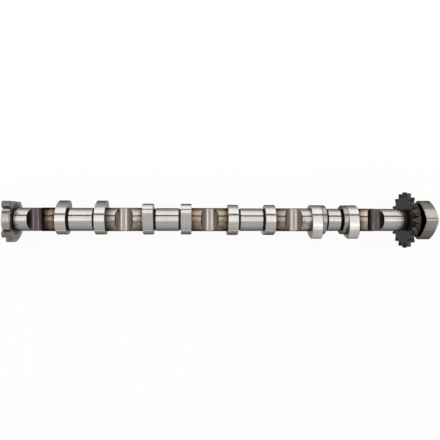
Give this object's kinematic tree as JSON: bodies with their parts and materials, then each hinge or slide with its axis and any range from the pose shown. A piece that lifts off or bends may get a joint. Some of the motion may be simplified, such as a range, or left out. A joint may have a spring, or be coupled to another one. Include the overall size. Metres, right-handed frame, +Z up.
{
  "type": "engine camshaft",
  "caption": "Steel camshaft with paired valve lobes, ground journals, bolt notches, a cast front flange, a chain sprocket and a four-lobed pump cam at the end.",
  "frame": {"origin": "on the axis of rotation, at the middle of the thrust journal between the last cylinder's two lobes", "axes": "+X along the axis of rotation, towards the sprocket and the pump cam; +Z up, the side that the bolt notches open to; +Y to the left when looking along +X"},
  "size_m": [0.4467, 0.0602, 0.0596],
  "materials": {
    "steel": "ground and heat-tinted"
  },
  "bodies": {
    "root": {"camshaft": "steel"}
  },
  "joints": []
}
